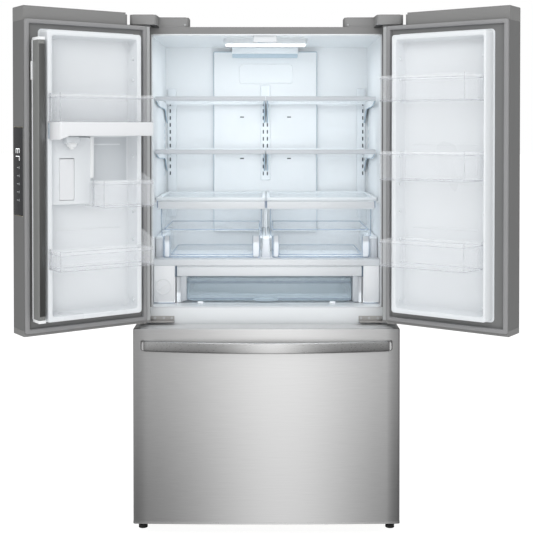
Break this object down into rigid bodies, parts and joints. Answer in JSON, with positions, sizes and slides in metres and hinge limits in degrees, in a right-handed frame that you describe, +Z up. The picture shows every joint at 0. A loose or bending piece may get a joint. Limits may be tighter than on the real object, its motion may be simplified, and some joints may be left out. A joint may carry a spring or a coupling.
{
  "type": "french door refrigerator",
  "caption": "Tall refrigerator with two hinged upper doors, a pull-out lower freezer drawer, glass shelves, crispers, door bins and a folding centre bar.",
  "frame": {"origin": "on the floor, at the middle of the cabinet footprint", "axes": "+X to the right seen from the front, -Y the front, +Z up"},
  "size_m": [1.654, 1.1778, 1.784],
  "materials": {
    "cabinet_steel": "satin grey paint",
    "foam": "closed-cell foam",
    "liner_white": "gloss white vacuum-formed plastic",
    "frame_steel": "matt black paint",
    "galvanised": "zinc plated",
    "compressor_black": "gloss black paint",
    "copper": "copper tube",
    "fan_plastic": "matt",
    "aluminium": "mill finish",
    "white_plastic": "satin white",
    "lamp": "frosted diffuser",
    "track_steel": "white-grey powder coat",
    "glass": "clear toughened glass",
    "clear_plastic": "clear polystyrene",
    "hinge_steel": "plated steel",
    "cover_grey": "satin grey",
    "foot_black": "matt black",
    "stainless": "brushed stainless steel",
    "handle_steel": "brushed",
    "gasket_grey": "soft grey vinyl",
    "bar_grey": "satin grey",
    "panel_black": "gloss dark grey"
  },
  "bodies": {
    "cabinet": {"cabinet_case": "cabinet_steel", "cabinet_insulation": "foam", "fresh_food_liner": "liner_white", "freezer_liner": "liner_white", "base_frame": "frame_steel", "rear_cover": "galvanised", "compressor": "compressor_black", "condenser_coil": "copper", "evaporator_coil": "aluminium", "evaporator_cover": "white_plastic", "air_duct_cover": "white_plastic", "ceiling_light": "lamp", "mullion_guide": "white_plastic", "shelf_tracks": "track_steel", "shelf_frames": "white_plastic", "shelf_glass": "glass", "crisper_cover": "white_plastic", "deli_cover": "white_plastic", "top_hinges": "hinge_steel", "top_hinge_covers": "cover_grey", "middle_hinges": "hinge_steel", "hinge_screws": "hinge_steel", "freezer_rails": "galvanised"},
    "left_foot": {"left_foot": "foot_black"},
    "right_foot": {"right_foot": "foot_black"},
    "left_roller": {"left_roller": "foot_black"},
    "right_roller": {"right_roller": "foot_black"},
    "condenser_fan": {"condenser_fan": "fan_plastic"},
    "evaporator_fan": {"evaporator_fan": "fan_plastic"},
    "water_filter": {"water_filter": "white_plastic"},
    "left_crisper": {"left_crisper": "clear_plastic", "left_crisper_front": "clear_plastic"},
    "right_crisper": {"right_crisper": "clear_plastic", "right_crisper_front": "clear_plastic"},
    "deli_drawer": {"deli_drawer": "clear_plastic", "deli_front": "white_plastic"},
    "freezer_drawer": {"freezer_panel": "stainless", "freezer_foam": "foam", "freezer_inner": "liner_white", "freezer_gasket": "gasket_grey", "freezer_handle": "handle_steel", "freezer_slides": "galvanised", "freezer_basket": "white_plastic"},
    "freezer_upper_basket": {"freezer_upper_basket": "white_plastic"},
    "left_door": {"left_door_panel": "stainless", "left_door_foam": "foam", "left_door_liner": "liner_white", "left_door_gasket": "gasket_grey", "left_door_handle": "handle_steel", "left_door_bins": "clear_plastic", "control_panel": "panel_black", "dispenser_housing": "white_plastic"},
    "dispenser_paddle": {"dispenser_paddle": "white_plastic"},
    "mullion_bar": {"mullion_bar": "bar_grey"},
    "right_door": {"right_door_panel": "stainless", "right_door_foam": "foam", "right_door_liner": "liner_white", "right_door_gasket": "gasket_grey", "right_door_handle": "handle_steel", "right_door_bins": "clear_plastic"}
  },
  "joints": [
    {"name": "left_door_hinge", "type": "hinge", "parent": "cabinet", "child": "left_door", "pos_m": [-0.436, -0.4215, 1.2], "axis": [0, 0, -1], "range_deg": [-145, 0]},
    {"name": "right_door_hinge", "type": "hinge", "parent": "cabinet", "child": "right_door", "pos_m": [0.436, -0.4215, 1.2], "axis": [0, 0, 1], "range_deg": [-145, 0]},
    {"name": "mullion_fold", "type": "hinge", "parent": "left_door", "child": "mullion_bar", "pos_m": [-0.73433, -0.70242, 1.2], "axis": [0, 0, 1], "range_deg": [-90, 0]},
    {"name": "dispenser_press", "type": "hinge", "parent": "left_door", "child": "dispenser_paddle", "pos_m": [-0.64143, -0.64592, 1.308], "axis": [0.8192, 0.5736, 0], "range_deg": [0, 6]},
    {"name": "freezer_slide", "type": "slide", "parent": "cabinet", "child": "freezer_drawer", "axis": [0, -1, 0], "range_m": [0, 0.37]},
    {"name": "upper_basket_slide", "type": "slide", "parent": "cabinet", "child": "freezer_upper_basket", "axis": [0, -1, 0], "range_m": [0, 0.222]},
    {"name": "left_crisper_slide", "type": "slide", "parent": "cabinet", "child": "left_crisper", "axis": [0, -1, 0], "range_m": [0, 0.3]},
    {"name": "right_crisper_slide", "type": "slide", "parent": "cabinet", "child": "right_crisper", "axis": [0, -1, 0], "range_m": [0, 0.3]},
    {"name": "deli_slide", "type": "slide", "parent": "cabinet", "child": "deli_drawer", "axis": [0, -1, 0], "range_m": [0, 0.28]},
    {"name": "filter_turn", "type": "hinge", "parent": "cabinet", "child": "water_filter", "pos_m": [-0.371, -0.2575, 0.825], "axis": [0, -1, 0], "range_deg": [0, 90]},
    {"name": "left_foot_height", "type": "slide", "parent": "cabinet", "child": "left_foot", "axis": [0, 0, -1], "range_m": [0, 0.012]},
    {"name": "right_foot_height", "type": "slide", "parent": "cabinet", "child": "right_foot", "axis": [0, 0, -1], "range_m": [0, 0.012]},
    {"name": "left_roller_axle", "type": "hinge", "parent": "cabinet", "child": "left_roller", "pos_m": [-0.432, 0.2925, 0.019], "axis": [1, 0, 0], "continuous": true},
    {"name": "right_roller_axle", "type": "hinge", "parent": "cabinet", "child": "right_roller", "pos_m": [0.432, 0.2925, 0.019], "axis": [1, 0, 0], "continuous": true},
    {"name": "condenser_fan_shaft", "type": "hinge", "parent": "cabinet", "child": "condenser_fan", "pos_m": [-0.06, 0.2325, 0.19], "axis": [1, 0, 0], "continuous": true},
    {"name": "evaporator_fan_shaft", "type": "hinge", "parent": "cabinet", "child": "evaporator_fan", "pos_m": [0, 0.1575, 0.62], "axis": [0, -1, 0], "continuous": true}
  ],
  "couplings": [
    {"joint": "mullion_fold", "follows": "left_door_hinge", "ratio": 0.62069},
    {"joint": "upper_basket_slide", "follows": "freezer_slide", "ratio": 0.6}
  ]
}
